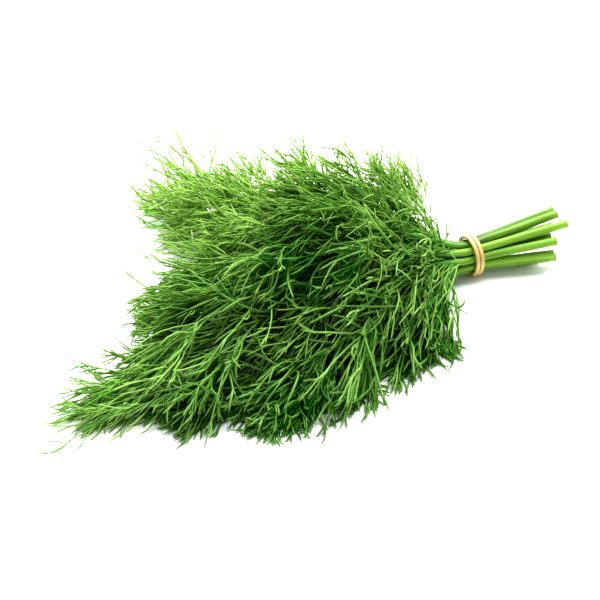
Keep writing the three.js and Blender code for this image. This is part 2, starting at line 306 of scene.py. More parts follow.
def rib_points(root, stemward, direction, length):
    """The rib of a frond: it sets off in its own direction, bends along the stem and droops."""
    t = np.linspace(0, 1, FROND_STEPS + 1)[:, None]
    bend = length * FROND_BEND * t**2
    points = root + direction * (length * t - bend) + stemward * bend
    points[:, 2] = np.maximum(points[:, 2] - FROND_DROOP * t[:, 0] ** 2, FLOOR_HEIGHT)
    return points


def side_frond(owner, knots, number, attempt):
    """The rib of a side frond. The last key of each draw sets it apart from the other draws."""
    step = (FROND_LAST - FROND_FIRST) / STEMS[owner][FRONDS]
    share = FROND_FIRST + step * (number + draw_between(0.1, 0.9, owner, number, 1))
    tangent = curve_tangent(knots, leafy(share))
    side, _ = across(tangent)
    hand = 1 if number % 2 else -1
    lift = math.radians(draw_between(*FROND_LIFT_DEG, owner, number, 2 + attempt))
    opening = mix(*FROND_ANGLE_DEG, share)
    angle = math.radians(opening * draw_between(0.75, 1.25, owner, number, 40 + attempt))
    length = mix(*FROND_LENGTH, share) * STEMS[owner][SPAN] * draw_between(0.85, 1.1, owner, number, 80)
    outward = side * hand * math.cos(lift) + UP * math.sin(lift)
    direction = tangent * math.cos(angle) + outward * math.sin(angle)
    return rib_points(curve_point(knots, leafy(share)), tangent, direction, length)


def foot_frond(owner, knots, foot, attempt):
    """The rib of a foot frond, swayed further at each attempt."""
    _, heading, lift, length = foot

    def sway(key):
        return draw_between(-1, 1, owner, length, key + attempt) * attempt

    heading, lift = math.radians(heading + sway(3)), math.radians(lift + sway(60))
    level = math.cos(lift)
    direction = np.array([-math.cos(heading) * level, -math.sin(heading) * level, math.sin(lift)])
    root = curve_point(knots, leafy(FOOT_FROND_SHARE))
    return rib_points(root, curve_tangent(knots, leafy(FOOT_FROND_SHARE)), direction, length)


def grow_rib(plant, number, points_at):
    """Grows a rib where it has room, with a new draw of its direction for each try."""
    radii = [FROND_RADIUS * (1 - FROND_TAPER * k / FROND_STEPS) for k in range(FROND_STEPS)] + [0]
    for attempt in range(TRIES):
        points = points_at(attempt)
        if claim_room(points, radii, (plant["branch"], number), plant["branch"]):
            plant["ribs"].append(points)
            return


def grow_skeleton():
    """Every stem, and the ribs of its fronds, where the solid model has them."""
    plants = []
    for owner, stem in enumerate(STEMS):
        knots = stem_knots(stem)
        points = np.array([curve_point(knots, t) for t in STEM_PARAMETERS])
        radii = [stem_radius(t) for t in STEM_PARAMETERS[:-1]] + [0]
        branch = (owner,)
        occupied.extend(segments_of(points, radii, branch))
        plants.append({"owner": owner, "knots": knots, "branch": branch, "ribs": []})
    most = max(stem[FRONDS] for stem in STEMS)
    for i, foot in enumerate(FOOT_FRONDS):
        plant = plants[foot[0]]
        grow_rib(plant, most + 1 + i, lambda a: foot_frond(foot[0], plant["knots"], foot, a))
    for number in range(most):
        for plant in plants:
            owner = plant["owner"]
            if number < STEMS[owner][FRONDS]:
                grow_rib(plant, number, lambda a: side_frond(owner, plant["knots"], number, a))
    return plants


SKELETON = grow_skeleton()


# ---- Strands: straight ones are modelled once, and copies of them are bent along paths ----

# Where each kind of strand has its rings, from 0 at its root to 1 at its tip.
THREAD_RINGS = np.array([0, 0.16, 0.32, 0.48, 0.64, 0.78, 0.9, 1])
FORK_RINGS = np.array([0, 0.3, 0.6, 0.85, 1])
STALK_RINGS = np.linspace(0, 1, 7)
RIB_RINGS = np.linspace(0, 1, 10)
STEM_RINGS = np.linspace(0, 1, 53)
BAND_TURNS = 2
BAND_RINGS = np.linspace(0, 1, 60 * BAND_TURNS + 1)

# How many sides each has. A thread is slimmer past SLIM_FROM. Every other edge of a stem is a groove.
THREAD_SIDES = 3
STALK_SIDES = 4
RIB_SIDES = 6
STEM_SIDES = 24
BAND_SIDES = 16
SLIM_FROM = 0.7
SLIM = 0.72
GROOVED = 0.95

# The cut end of a stem of radius 1 and length 1: a rim, and two steps of pith let in inside it.
CUT_RIM = 0.14
PITH_RADIUS = 0.86
PITH_STEP = 0.24
PITH_STEP_DEPTH = 0.0008
PITH_DEPTH = 0.003
PITH_HEART = 0.1

# Points of a strand that are closer than this are in one place.
TOUCH = 1e-4


def start_strand(sides, rings):
    """A straight strand of radius 1 from height 0 to 1, cut into rings, left in edit mode."""
    bpy.ops.object.select_all(action="DESELECT")
    bpy.ops.mesh.primitive_cylinder_add(
        vertices=sides, radius=1, depth=1, end_fill_type="NGON", location=(0, 0, 0.5)
    )
    bpy.ops.object.transform_apply(location=True)
    bpy.ops.object.mode_set(mode="EDIT")
    for height in rings[1:-1]:
        bpy.ops.mesh.select_all(action="SELECT")
        bpy.ops.mesh.bisect(plane_co=(0, 0, height), plane_no=(0, 0, 1))
    bpy.ops.mesh.select_all(action="DESELECT")
    return bpy.context.edit_object


def pick(strand, wanted, kind="VERT"):
    """Selects what is at a place that wanted says, and nothing else."""
    bpy.ops.mesh.select_mode(type=kind)
    bpy.ops.mesh.select_all(action="DESELECT")
    bpy.ops.object.mode_set(mode="OBJECT")
    mesh = strand.data
    for item in mesh.vertices if kind == "VERT" else mesh.polygons:
        item.select = bool(wanted(item.co if kind == "VERT" else item.center))
    bpy.ops.object.mode_set(mode="EDIT")


def point_tip(strand):
    """Draws the far end of a strand together to a point."""
    pick(strand, lambda at: at.z > 1 - TOUCH)
    bpy.ops.mesh.merge(type="CENTER")


def finish_strand(strand, rings):
    """Reads the finished strand as what bend needs, and removes it."""
    bpy.ops.object.mode_set(mode="OBJECT")
    mesh = strand.data
    at = np.array([v.co for v in mesh.vertices])
    ring = np.abs(at[:, 2:] - rings).argmin(axis=1)
    faces = [list(face.vertices) for face in mesh.polygons]
    finishes = [face.material_index for face in mesh.polygons]
    bpy.data.objects.remove(strand)
    depth = at[:, 2] - rings[ring]
    return dict(at=at, rings=rings, ring=ring, depth=depth, faces=faces, finishes=finishes)


def model_thread(rings):
    """A leaf thread: three sides, and a long taper to a sharp tip."""
    strand = start_strand(THREAD_SIDES, rings)
    point_tip(strand)
    pick(strand, lambda at: SLIM_FROM + TOUCH < at.z < 1 - TOUCH)
    bpy.ops.transform.resize(value=(SLIM, SLIM, 1))
    return finish_strand(strand, rings)


def model_tapered(sides, rings, thin):
    """A stalk or rib, tapered from radius 1 to thin at its last ring, and closed in a point."""
    strand = start_strand(sides, rings)
    point_tip(strand)
    for height in rings[1:-1]:
        pick(strand, lambda at: abs(at.z - height) < TOUCH)
        width = mix(1, thin, height)
        bpy.ops.transform.resize(value=(width, width, 1))
    return finish_strand(strand, rings)


def model_stem():
    """A grooved stem, with its cut end let in a little inside the rim, and a pointed tip."""
    strand = start_strand(STEM_SIDES, STEM_RINGS)
    pick(strand, lambda at: round(math.atan2(at.y, at.x) / math.tau * STEM_SIDES) % 2 == 0)
    bpy.ops.transform.resize(value=(GROOVED, GROOVED, 1))
    point_tip(strand)
    pick(strand, lambda at: at.z < TOUCH, "FACE")
    bpy.ops.mesh.inset(thickness=CUT_RIM)
    for _ in range(2):
        pick(strand, lambda at: at.z < PITH_DEPTH and at.xy.length < PITH_HEART, "FACE")
        bpy.ops.mesh.inset(thickness=PITH_STEP, depth=-PITH_STEP_DEPTH)
    bpy.ops.object.mode_set(mode="OBJECT")
    for face in strand.data.polygons:
        face.material_index = int(face.center.z < PITH_DEPTH and face.center.xy.length < PITH_RADIUS)
    return finish_strand(strand, STEM_RINGS)


def model_band_strand():
    """A round strand, open at its ends, which the rubber band's operator makes nearly square across."""
    strand = start_strand(BAND_SIDES, BAND_RINGS)
    pick(strand, lambda at: at.z < TOUCH or at.z > 1 - TOUCH, "FACE")
    bpy.ops.mesh.delete(type="ONLY_FACE")
    return finish_strand(strand, BAND_RINGS)


def bend(strand, paths, radii, reference=None):
    """Copies of a strand along paths (n, rings, 3), with radii (n, rings): vertices (n, m, 3).

    reference is a direction that no path runs along. Left out, each path has its own.
    """
    tangents = unit(np.gradient(paths, axis=1))
    if reference is None:
        chord = np.abs(paths[:, -1] - paths[:, 0])
        reference = np.eye(3)[chord.argmin(axis=1)][:, None]
    side = unit(np.cross(reference, tangents))
    over = unit(np.cross(tangents, side))
    length = np.linalg.norm(np.diff(paths, axis=1), axis=2).sum(axis=1)
    ring, at = strand["ring"], strand["at"]
    wide = radii[:, ring, None]
    place = paths[:, ring]
    place = place + side[:, ring] * wide * at[:, 0, None]
    place = place + over[:, ring] * wide * at[:, 1, None]
    return place + tangents[:, ring] * (strand["depth"][:, None] * length[:, None, None])


def make_piece(name, parts, materials):
    """One mesh object of bent strands. Each part is (strand, vertices, marks), with marks by name."""
    places, loops, totals, finishes = [], [], [], []
    marks = {}
    base = 0
    for strand, vertices, own in parts:
        count, m = vertices.shape[:2]
        corner = np.concatenate([np.array(face) for face in strand["faces"]])
        firsts = base + m * np.arange(count)[:, None]
        loops.append((corner[None] + firsts).ravel())
        totals.append(np.tile([len(face) for face in strand["faces"]], count))
        finishes.append(np.tile(strand["finishes"], count))
        places.append(vertices.reshape(-1, 3))
        for key, value in own.items():
            marks.setdefault(key, []).append(np.broadcast_to(value, (count, m)).ravel())
        base += count * m
    places, loops, totals = np.concatenate(places), np.concatenate(loops), np.concatenate(totals)
    mesh = bpy.data.meshes.new(name)
    mesh.vertices.add(len(places))
    mesh.vertices.foreach_set("co", (places * MM).astype(np.float32).ravel())
    mesh.loops.add(len(loops))
    mesh.loops.foreach_set("vertex_index", loops.astype(np.int32))
    mesh.polygons.add(len(totals))
    mesh.polygons.foreach_set("loop_start", (np.cumsum(totals) - totals).astype(np.int32))
    mesh.polygons.foreach_set("loop_total", totals.astype(np.int32))
    mesh.polygons.foreach_set("material_index", np.concatenate(finishes).astype(np.int32))
    for key, values in marks.items():
        mark = mesh.attributes.new(key, "FLOAT", "POINT")
        mark.data.foreach_set("value", np.concatenate(values).astype(np.float32))
    mesh.update(calc_edges=True)
    mesh.shade_smooth()
    for material in materials:
        mesh.materials.append(material)
    piece = bpy.data.objects.new(name, mesh)
    bpy.context.scene.collection.objects.link(piece)
    return piece


# ---- Fronds: pinnae on a rib, threads on a pinna, and forks on a thread ----

# Strands are combed away from this place beyond the tie, from COMB_START off, and fully at twice that.
COMB_FROM = np.array([25.0, 30.0, 10.0])
COMB_START = 35

# A strand on the floor lies up to PILE over it. One that stands higher than BOW_HEIGHT is bowed, so that
# it ends less than BOW_ROOM over that.
PILE = 1.2
BOW_HEIGHT = 52
BOW_ROOM = 12

# Threads turn coarse over COARSE_WIDTH across the bunch, and finer again past FINE_END along it.
COARSE_WIDTH = 75
FINE_END = -150
FINE_END_WIDTH = 160

# Young leaf: past YOUNG_REACH from the tie, a little nearer on the far side, and at the upper far edge,
# past EDGE_START along EDGE_SLANT.
YOUNG_REACH = 145
YOUNG_REACH_WIDTH = 65
YOUNG_FAR_SHARE = 0.3
EDGE_SLANT = (0.25, 0.5, 0.8)
EDGE_START = 45
EDGE_WIDTH = 15

# The parting is a line over the bunch through PARTING_AT. It fades out at both ends and low down, each
# as a start and a width. The notch is a spot.
PARTING_AT = (-100, -14)
PARTING_SLOPE = 0.7
PARTING_WIDTH = 14
PARTING_TIE_END = (60, 25)
PARTING_TIP_END = (-170, 30)
PARTING_FOOT = (15, 10)
NOTCH_AT = (-142, 58)
NOTCH_SIZE = (15, 12)

# The outline: threads end at most OVERHANG outside the solids' box, short of the bare neck on the near
# side, and short of a slanting line at the near corner.
OVERHANG = 11
NECK_END = -12
NECK_SLOPE = 0.3
NEAR_CORNER = -60
NEAR_CORNER_SLOPE = 0.3

# What is usual for a level is multiplied by the first on the fine far side and by the second on the
# coarse near side, and by chance from the least to the most.
FAR_TO_NEAR = dict(
    opening=(1.35, 0.8), sway=(0.9, 1.9), wave=(0.8, 1.7),
    droop=(0.3, 1.5), comb=(0.2, 1), radius=(0.8, 1.45),
)
BY_CHANCE = dict(
    share=(-0.4, 0.4), length=(0.6, 1.35), opening=(0.7, 1.3), closing=(0.3, 1.7),
    roll=(-1, 1), droop=(0.4, 1.4), comb=(0.5, 1.5), radius=(0.8, 1.15),
)
ROOT_SHARES = (0.02, 0.985)
FIRST_STRETCH = 0.25
LOCK_SWAY = 0.8
OWN_SWAY = 0.6
FULLNESS_POWER = 0.8

# How young leaf differs. Pairs are for the far side and the near side. Its paler tone is painted light.
YOUNG_LENGTH = (1.6, 0.8)
YOUNG_RADIUS = (1.3, 0.75)
YOUNG_PAINTED_LIGHT = (0.1, 0.6)
YOUNG_OPENING = 1.25
YOUNG_SWAY_LOSS = 0.5
YOUNG_LIFT = 0.45
YOUNG_COMB_LOSS = 0.6
YOUNG_KEPT = 0.45

# More strands are kept near the floor, fewer in the parting, and none in the middle of the notch. The
# parting is painted darker, as painted shade, and the far side is painted paler, as painted light.
FLOOR_KEPT = 1.3
FLOOR_KEPT_HEIGHT = 15
PARTING_THINNED = 0.5
NOTCH_THINNED = 1.1
PARTING_PAINTED_SHADE = 0.8
FAR_PAINTED_LIGHT = 0.6

# The levels of foliage. Each has strands on every parent, from one share of its length to another. They
# leave it at opening and end at closing, in degrees. The pairs are for the far side and the near side.
USUAL_LEVEL = dict(first_size=0.85, wave=0.18, comb=0.65, own_tone=0.3, passes_size=False)
LEVELS = {
    "pinna": dict(
        end=0.98, opening=30, closing=4, roll=55, sway=0.35, droop=0.25, thickness=1.1,
        size=(0.66, 1.1), end_size=0.4, kept=(0.95, 0.9), own_tone=0.35, passes_size=True,
    ),
    "thread": dict(
        start=0.2, end=0.98, opening=24, closing=-2, roll=65, sway=0.95, droop=0.4, thickness=1,
        size=(0.66, 1.36), end_size=0.7, kept=(1.0, 0.5),
    ),
    "fork": dict(
        start=0.25, end=0.75, opening=20, closing=0, roll=75, sway=0.7, droop=0.25, thickness=0.92,
        size=(0.66, 1.2), end_size=0.7, kept=(0.75, 0.65),
    ),
}

# Pinnae on the ribs, on the lowest leafy stretch of a stem, and on its growing tip.
RIB_PINNAE = dict(start=FROND_BARE)
NECK_PINNAE = dict(start=0.0, count=40, passes_size=False, end_size=1.0, first_size=1.1)
TIP_PINNAE = dict(start=0.03)
FROND_SEED = 4100

# The foliage is measured in cells of CELL. One with CROWDED points is inside it. AROUND holds the cell
# itself and the steps to its neighbours, as shift and axis.
CELL = 3.5
CROWDED = 3
CELLS_TO_HEART = 3
AROUND = [(0, 0), (1, 0), (-1, 0), (1, 1), (-1, 1), (1, 2), (-1, 2)]


def sprout(parents, shares, lengths, opening, closing, hands, roll, sway, wave, droop, comb, rings):
    """Strands that leave their parents' sides at an opening angle and sweep forward to closing.

    They are combed along the bunch, away from the tie. parents is (n, points, 3), and all else but
    rings is (n, k). The result is (n * k, rings, 3).
    """
    roots, ahead = on_paths(parents, shares)
    side, over = across(ahead)
    outward = side * (hands * np.cos(roll))[..., None] + over * np.sin(roll)[..., None]
    curl = np.cross(ahead, outward)
    halfway = (rings[1:] + rings[:-1]) / 2
    angle = mix(opening[..., None], closing[..., None], halfway)[..., None]
    heading = ahead[..., None, :] * np.cos(angle) + outward[..., None, :] * np.sin(angle)
    aside = sway[..., None] * halfway + wave[..., None] * np.sin(math.tau * halfway)
    heading = heading + curl[..., None, :] * aside[..., None]
    away = roots - COMB_FROM
    comb = comb * rise(np.linalg.norm(away, axis=-1), COMB_START, COMB_START)
    heading = heading + (unit(away) * comb[..., None])[..., None, :] * halfway[:, None]
    heading[..., 2] -= droop[..., None] * halfway
    strides = unit(heading) * (lengths[..., None] * np.diff(rings))[..., None]
    points = np.concatenate([np.zeros_like(strides[..., :1, :]), np.cumsum(strides, axis=-2)], axis=-2)
    return (roots[..., None, :] + points).reshape(-1, len(rings), 3)


def settle(paths, radii, chance):
    """Lets strands that would be under the floor lie on it, and bows those that would stand too high."""
    least = radii + PILE * chance.uniform(0, 1, len(paths)) ** 2
    paths[..., 2] = np.maximum(paths[..., 2], least[:, None])
    above = np.maximum(paths[..., 2] - BOW_HEIGHT, 0)
    paths[..., 2] += BOW_ROOM * (1 - np.exp(-above / BOW_ROOM)) - above


def coarseness(paths):
    """From 0 on the far side of the bunch, where threads are fine, to 1 on the near side."""
    x, y, _ = paths.mean(axis=1).T
    finer = np.minimum(x - FINE_END, 0) / FINE_END_WIDTH
    return np.clip(0.5 - y / COARSE_WIDTH + finer, 0, 1)


def far_out(places):
    """From 0 in the body of the bunch to 1 at its tips and upper far edge, where young leaf is."""
    x, y, z = np.moveaxis(places, -1, 0)
    tips = (np.hypot(x, y) + YOUNG_FAR_SHARE * y - YOUNG_REACH) / YOUNG_REACH_WIDTH
    along_x, along_y, along_z = EDGE_SLANT
    edge = (along_x * x + along_y * y + along_z * z - EDGE_START) / EDGE_WIDTH
    return np.clip(np.maximum(tips, edge), 0, 1)


def parted(places):
    """From 0 to 1 in the parting: thin, slantwise over the bunch, and painted dark as shade."""
    x, y, z = np.moveaxis(places, -1, 0)
    at_x, at_y = PARTING_AT
    aside = y - at_y + PARTING_SLOPE * (x - at_x)
    middle = np.exp(-((aside / PARTING_WIDTH) ** 2)) * rise(z, *PARTING_FOOT)
    return middle * rise(-x, *PARTING_TIE_END) * rise(x, *PARTING_TIP_END)


def notched(places):
    """From 0 to 1 in the notch between two fronds on the far side."""
    x, y, _ = np.moveaxis(places, -1, 0)
    (at_x, at_y), (long, wide) = NOTCH_AT, NOTCH_SIZE
    return np.exp(-(((x - at_x) / long) ** 2) - ((y - at_y) / wide) ** 2)


def within_outline(tips):
    """Which tips lie inside the outline of the bunch, in millimetres."""
    x, y = tips[:, 0], tips[:, 1]
    low, high = (np.array(corner)[:2] / MM for corner in CAD_BOX)
    near_solids = (tips[:, :2] > low - OVERHANG) & (tips[:, :2] < high + OVERHANG)
    off_neck = (x + NECK_SLOPE * np.abs(y) < NECK_END) | (y > 0)
    off_corner = y > NEAR_CORNER + NEAR_CORNER_SLOPE * x
    return near_solids.all(axis=1) & off_neck & off_corner


def which_kept(paths, coarse, usual, chance):
    """Which strands are kept. usual is the share of them on the far side and on the near side."""
    roots, tips = paths[:, 0], paths[:, -1]
    by_floor = np.clip(FLOOR_KEPT - roots[:, 2] / FLOOR_KEPT_HEIGHT, 0, 1)
    share = mix(mix(*usual, coarse), 1, by_floor) * mix(1, YOUNG_KEPT, far_out(roots))
    kept = chance.uniform(size=len(paths)) < share
    share = 1 - PARTING_THINNED * parted(tips) - NOTCH_THINNED * notched(tips)
    kept &= chance.uniform(size=len(paths)) < share
    return kept & within_outline(tips)


def grow_level(parents, level, coarse, full, tones, chance):
    """Strands of one level on their parents, with their radii, coarseness, fullness and tones."""
    n, k = len(parents), level["count"]
    near = coarse[:, None]
    young = far_out(parents[:, -1])[:, None]

    def by_chance(name):
        return chance.uniform(*BY_CHANCE[name], (n, k))

    def usual(name):
        return level[name] * mix(*FAR_TO_NEAR[name], near)

    even = (np.arange(k) + 0.5) / k
    end_size = mix(1, level["end_size"], even)
    shares = mix(level["start"], level["end"], even) + by_chance("share") / k
    shares = np.clip(shares, *ROOT_SHARES)
    hands = np.where(np.arange(k) % 2, 1.0, -1.0)
    hands = hands * np.where(chance.uniform(size=(n, 1)) < 0.5, 1, -1)
    size = mix(*level["size"], near) * end_size
    size = size * mix(level["first_size"], 1, np.clip(even / FIRST_STRETCH, 0, 1)) * full[:, None]
    length = level["length"] * size * by_chance("length")
    length = length * mix(1, mix(*YOUNG_LENGTH, near), young)
    opening = usual("opening") * mix(1, YOUNG_OPENING, young)
    lock_sway = chance.normal(0, 1, (n, 1))
    opening = np.radians(opening * by_chance("opening"))
    closing = np.radians(level["closing"] * by_chance("closing"))
    roll = np.radians(level["roll"]) * by_chance("roll")
    own_sway = chance.normal(0, 1, (n, k))
    sway = usual("sway") * (1 - YOUNG_SWAY_LOSS * young) * (LOCK_SWAY * lock_sway + OWN_SWAY * own_sway)
    wave = usual("wave") * chance.normal(0, 1, (n, k))
    droop = usual("droop") * by_chance("droop") - YOUNG_LIFT * young * (1 - near)
    comb = usual("comb") * by_chance("comb") * (1 - YOUNG_COMB_LOSS * young * (1 - near))
    rings = level["strand"]["rings"]
    paths = sprout(parents, shares, length, opening, closing, hands, roll, sway, wave, droop, comb, rings)
    coarse = np.repeat(coarse, k)
    fullness = end_size**FULLNESS_POWER if level["passes_size"] else np.ones(k)
    full = (full[:, None] * fullness).ravel()
    radii = level["radius"] * mix(*FAR_TO_NEAR["radius"], coarse) * by_chance("radius").ravel()
    radii = radii * mix(1, mix(*YOUNG_RADIUS, coarse), far_out(paths[:, -1]))
    tones = mix(np.repeat(tones, k), chance.uniform(0, 1, n * k), level["own_tone"])
    kept = which_kept(paths, coarse, level["kept"], chance)
    settle(paths, radii, chance)
    return tuple(value[kept] for value in (paths, radii, coarse, full, tones))


def frond_parts(plant, levels):
    """The strands of every frond of a stem, level by level, ready for make_piece."""
    chance = np.random.default_rng(FROND_SEED + plant["owner"])
    ribs = np.array([smooth_path(rib, len(RIB_RINGS)) for rib in plant["ribs"]])
    neck, tip = (
        np.array([[curve_point(plant["knots"], t) for t in np.linspace(*ends, len(RIB_RINGS))]])
        for ends in ((LEAFY_START, TIP_START), (TIP_START, 1))
    )
    parts = []
    for paths, own in ((ribs, RIB_PINNAE), (neck, NECK_PINNAE), (tip, TIP_PINNAE)):
        coarse, tones = coarseness(paths), chance.uniform(0, 1, len(paths))
        full = np.ones(len(paths))
        for name, level in levels.items():
            if name == "pinna":
                level = {**level, **own}
            paths, radii, coarse, full, tones = grow_level(paths, level, coarse, full, tones, chance)
            strand = level["strand"]
            places = bend(strand, paths, np.repeat(radii[:, None], paths.shape[1], axis=1))
            near = coarse[:, None]
            # The tone is painted lighter on young leaf and on the far side, as painted light, and darker
            # in the parting, as painted shade.
            tone = tones[:, None] + mix(*YOUNG_PAINTED_LIGHT, near) * far_out(places)
            tone = tone - PARTING_PAINTED_SHADE * parted(places) + FAR_PAINTED_LIGHT * (1 - near)
            marks = {"tone": tone, "along": strand["at"][None, :, 2], "coarse": near}
            parts.append((strand, places, marks))
    return parts


def depth_inside(places):
    """How deep each place lies inside the foliage, from 0 at its surface to 1 in the heart of it."""
    low = places.min(axis=0) - 2 * CELL
    cell = ((places - low) / CELL).astype(int)
    strands = np.zeros(cell.max(axis=0) + 3)
    np.add.at(strands, tuple(cell.T), 1)
    inside = strands >= CROWDED
    # Under the lowest foliage is the floor, so it isn't a surface of the heap.
    inside[..., :2] = inside[..., 2:3]
    depth = np.zeros(inside.shape)
    for _ in range(CELLS_TO_HEART):
        depth += inside
        inside = np.logical_and.reduce([np.roll(inside, *by) for by in AROUND])
    depth = sum(np.roll(depth, *by) for by in AROUND) / len(AROUND)
    return depth[tuple(cell.T)] / CELLS_TO_HEART


# ---- Materials ----

# Sizes of what varies in them, in millimetres, and how much light a leaf lets through.
CLOUD_SIZE = 14
PITH_CELL = 0.5
FIBRE_SIZE = 2
LET_THROUGH = 0.32


def linear(hexcode):
    """An sRGB hex colour as linear RGBA."""
    parts = [int(hexcode[i : i + 2], 16) / 255 for i in (1, 3, 5)]
    return tuple(p / 12.92 if p <= 0.04045 else ((p + 0.055) / 1.055) ** 2.4 for p in parts) + (1.0,)


def add_node(tree, kind, settings=None, links=None):
    """Adds a node, sets its properties, socket values and colour stops, and links its sockets."""
    made = tree.nodes.new(f"ShaderNode{kind}")
    for name, value in (settings or {}).items():
        if name == "stops":
            ramp = made.color_ramp.elements
            for place, _ in value[2:]:
                ramp.new(place)
            for stop, (place, colour) in zip(ramp, value):
                stop.position, stop.color = place, colour
        elif isinstance(name, int) or name in made.inputs:
            made.inputs[name].default_value = value
        else:
            setattr(made, name, value)
    for name, source in (links or {}).items():
        tree.links.new(source, made.inputs[name])
    return made


def new_material(name):
    """An empty material, and its tree."""
    material = bpy.data.materials.new(name)
    material.use_nodes = True
    material.node_tree.nodes.clear()
    return material, material.node_tree


def add_mark(tree, name):
    """What a piece's own marks say, such as its tone."""
    return add_node(tree, "Attribute", {"attribute_name": name}).outputs["Fac"]


def add_sum(tree, value, share, base=None):
    """A share of value on top of base."""
    links = {0: value} if base is None else {0: value, 2: base}
    settings = {"operation": "MULTIPLY_ADD", 1: share, 2: 0.0}
    return add_node(tree, "Math", settings, links).outputs["Value"]


def add_noise(tree, place, scale, detail):
    """Soft noise of a scale, at a place."""
    settings = {"Scale": scale, "Detail": detail}
    return add_node(tree, "TexNoise", settings, {"Vector": place}).outputs["Fac"]


def add_ramp(tree, shade, stops):
    """The colour at shade between the stops."""
    return add_node(tree, "ValToRGB", {"stops": stops}, {"Fac": shade}).outputs["Color"]


def add_range(tree, settings, links):
    """A value taken from one range to another."""
    return add_node(tree, "MapRange", settings, links).outputs["Result"]


def add_blend(tree, share, first, second):
    """The second colour over the first one by a share. The second is a link or a fixed colour."""
    settings, links = {"data_type": "RGBA"}, {0: share, 6: first}
    fixed = isinstance(second, tuple)
    (settings if fixed else links)[7] = second
    return add_node(tree, "Mix", settings, links).outputs[2]


def add_surface(tree, settings, links):
    """How the surface shines, and its colour."""
    return add_node(tree, "BsdfPrincipled", settings, links).outputs["BSDF"]


def add_relief(tree, height, strength, depth):
    """Bumps of a depth in millimetres."""
    settings = {"Strength": strength, "Distance": depth * MM}
    return add_node(tree, "Bump", settings, {"Height": height}).outputs["Normal"]


def add_output(tree, shader):
    add_node(tree, "OutputMaterial", {}, {"Surface": shader})


def object_place(tree):
    return add_node(tree, "TexCoord").outputs["Object"]


def grain_place(tree):
    """Coordinates that run along the grain of a bent strand, as its marks give them."""
    grain = {axis: add_mark(tree, f"grain_{axis.lower()}") for axis in "XYZ"}
    return add_node(tree, "CombineXYZ", {}, grain).outputs["Vector"]


def leaf_material(colours):
    """Fresh dill leaf: thin threads with a waxy coat. They shine softly, let some light through, and
    run from deep green in the heart of the bunch to bright yellow-green, with duller tips. Those of the
    fullest tone are a fresh plain green. Deep in the heap and in the parting the green is painted
    darker, as painted shade, and deep in the heap the shine and the dull tips are painted out too.
    Young leaf and the far side are painted paler, as painted light."""
    material, tree = new_material("fresh_dill_leaf_waxy")
    depth = add_mark(tree, "depth")
    cloud = add_noise(tree, object_place(tree), 1 / (CLOUD_SIZE * MM), 2.0)
    shade = add_sum(tree, cloud, 0.5)
    shade = add_sum(tree, add_mark(tree, "tone"), 0.6, shade)
    # Deeper in the heap the shade drops: painted shade, where the foliage shades itself.
    shade = add_sum(tree, depth, -0.7, shade)
    greens = []
    for side in ("far", "near"):
        bright, fresh = colours[f"{side}_bright"], colours[f"{side}_fresh"]
        # Two stops in one place are a step. A shade of 1 or more is past it.
        stops = [(0.0, colours["shaded"]), (1.0, bright), (1.0, fresh)]
        greens.append(add_ramp(tree, shade, stops))
    body = add_blend(tree, add_mark(tree, "coarse"), *greens)
    # Shine and dull tips fade out deeper in the heap: painted shade on the shine and the tips.
    shine_out_of_shade = add_range(tree, {"From Max": 0.4, "To Min": 0.24, "To Max": 0.0}, {"Value": depth})
    tip = add_range(
        tree,
        {"interpolation_type": "SMOOTHSTEP", "From Min": 0.6, "From Max": 1.0},
        {"Value": add_mark(tree, "along"), "To Max": shine_out_of_shade},
    )
    colour = add_blend(tree, tip, body, colours["tip"])
    links = {"Base Color": colour, "Specular IOR Level": shine_out_of_shade}
    surface = add_surface(tree, {"Roughness": 0.42, "IOR": 1.45}, links)
    glow = add_node(tree, "BsdfTranslucent", {}, {"Color": colour}).outputs["BSDF"]
    both = add_node(tree, "MixShader", {"Fac": LET_THROUGH}, {1: surface, 2: glow})
    add_output(tree, both.outputs["Shader"])
    return material


def stem_material(colours):
    """Fresh dill stem: a smooth waxy skin over fine lengthwise strands, which show as pale and dark
    streaks about half a millimetre wide."""
    material, tree = new_material("fresh_dill_stem_grooved")
    streaks = add_noise(tree, grain_place(tree), 1.0, 3.0)
    strands = add_range(tree, {"From Min": 0.34, "From Max": 0.66, "To Max": 0.55}, {"Value": streaks})
    shade = add_sum(tree, add_mark(tree, "tone"), 0.65, strands)
    body = add_ramp(tree, shade, [(0.2, colours["stem_deep"]), (1.0, colours["stem_pale"])])
    body = add_blend(tree, add_mark(tree, "leafy"), body, colours["stalk"])
    settings = {"Roughness": 0.48, "IOR": 1.45, "Specular IOR Level": 0.3}
    links = {"Base Color": body, "Normal": add_relief(tree, streaks, 0.5, 0.15)}
    add_output(tree, add_surface(tree, settings, links))
    return material


def pith_material(colours):
    """Cut dill stem: wet pale pith inside a rim that dries brown."""
    material, tree = new_material("cut_dill_pith")
    cells = add_noise(tree, object_place(tree), 1 / (PITH_CELL * MM), 3.0)
    shade = add_sum(tree, cells, 0.35, add_mark(tree, "rim"))
    body = add_ramp(tree, shade, [(0.2, colours["pith"]), (1.0, colours["dried"])])
    add_output(tree, add_surface(tree, {"Roughness": 0.5, "IOR": 1.4}, {"Base Color": body}))
    return material


def rubber_material(colours):
    """Natural latex rubber, cut from tube: straw tan, with a soft shine and faint lengthwise drag."""
    material, tree = new_material("natural_latex_rubber_cut")
    drag = add_noise(tree, grain_place(tree), 1.0, 4.0)
    body = add_ramp(tree, drag, [(0.3, colours["rubber_deep"]), (0.7, colours["rubber"])])
    settings = {
        "Roughness": 0.45,
        "IOR": 1.52,
        "Subsurface Weight": 0.05,
        "Subsurface Scale": 0.8 * MM,
    }
    links = {"Base Color": body, "Normal": add_relief(tree, drag, 0.6, 0.2)}
    add_output(tree, add_surface(tree, settings, links))
    return material


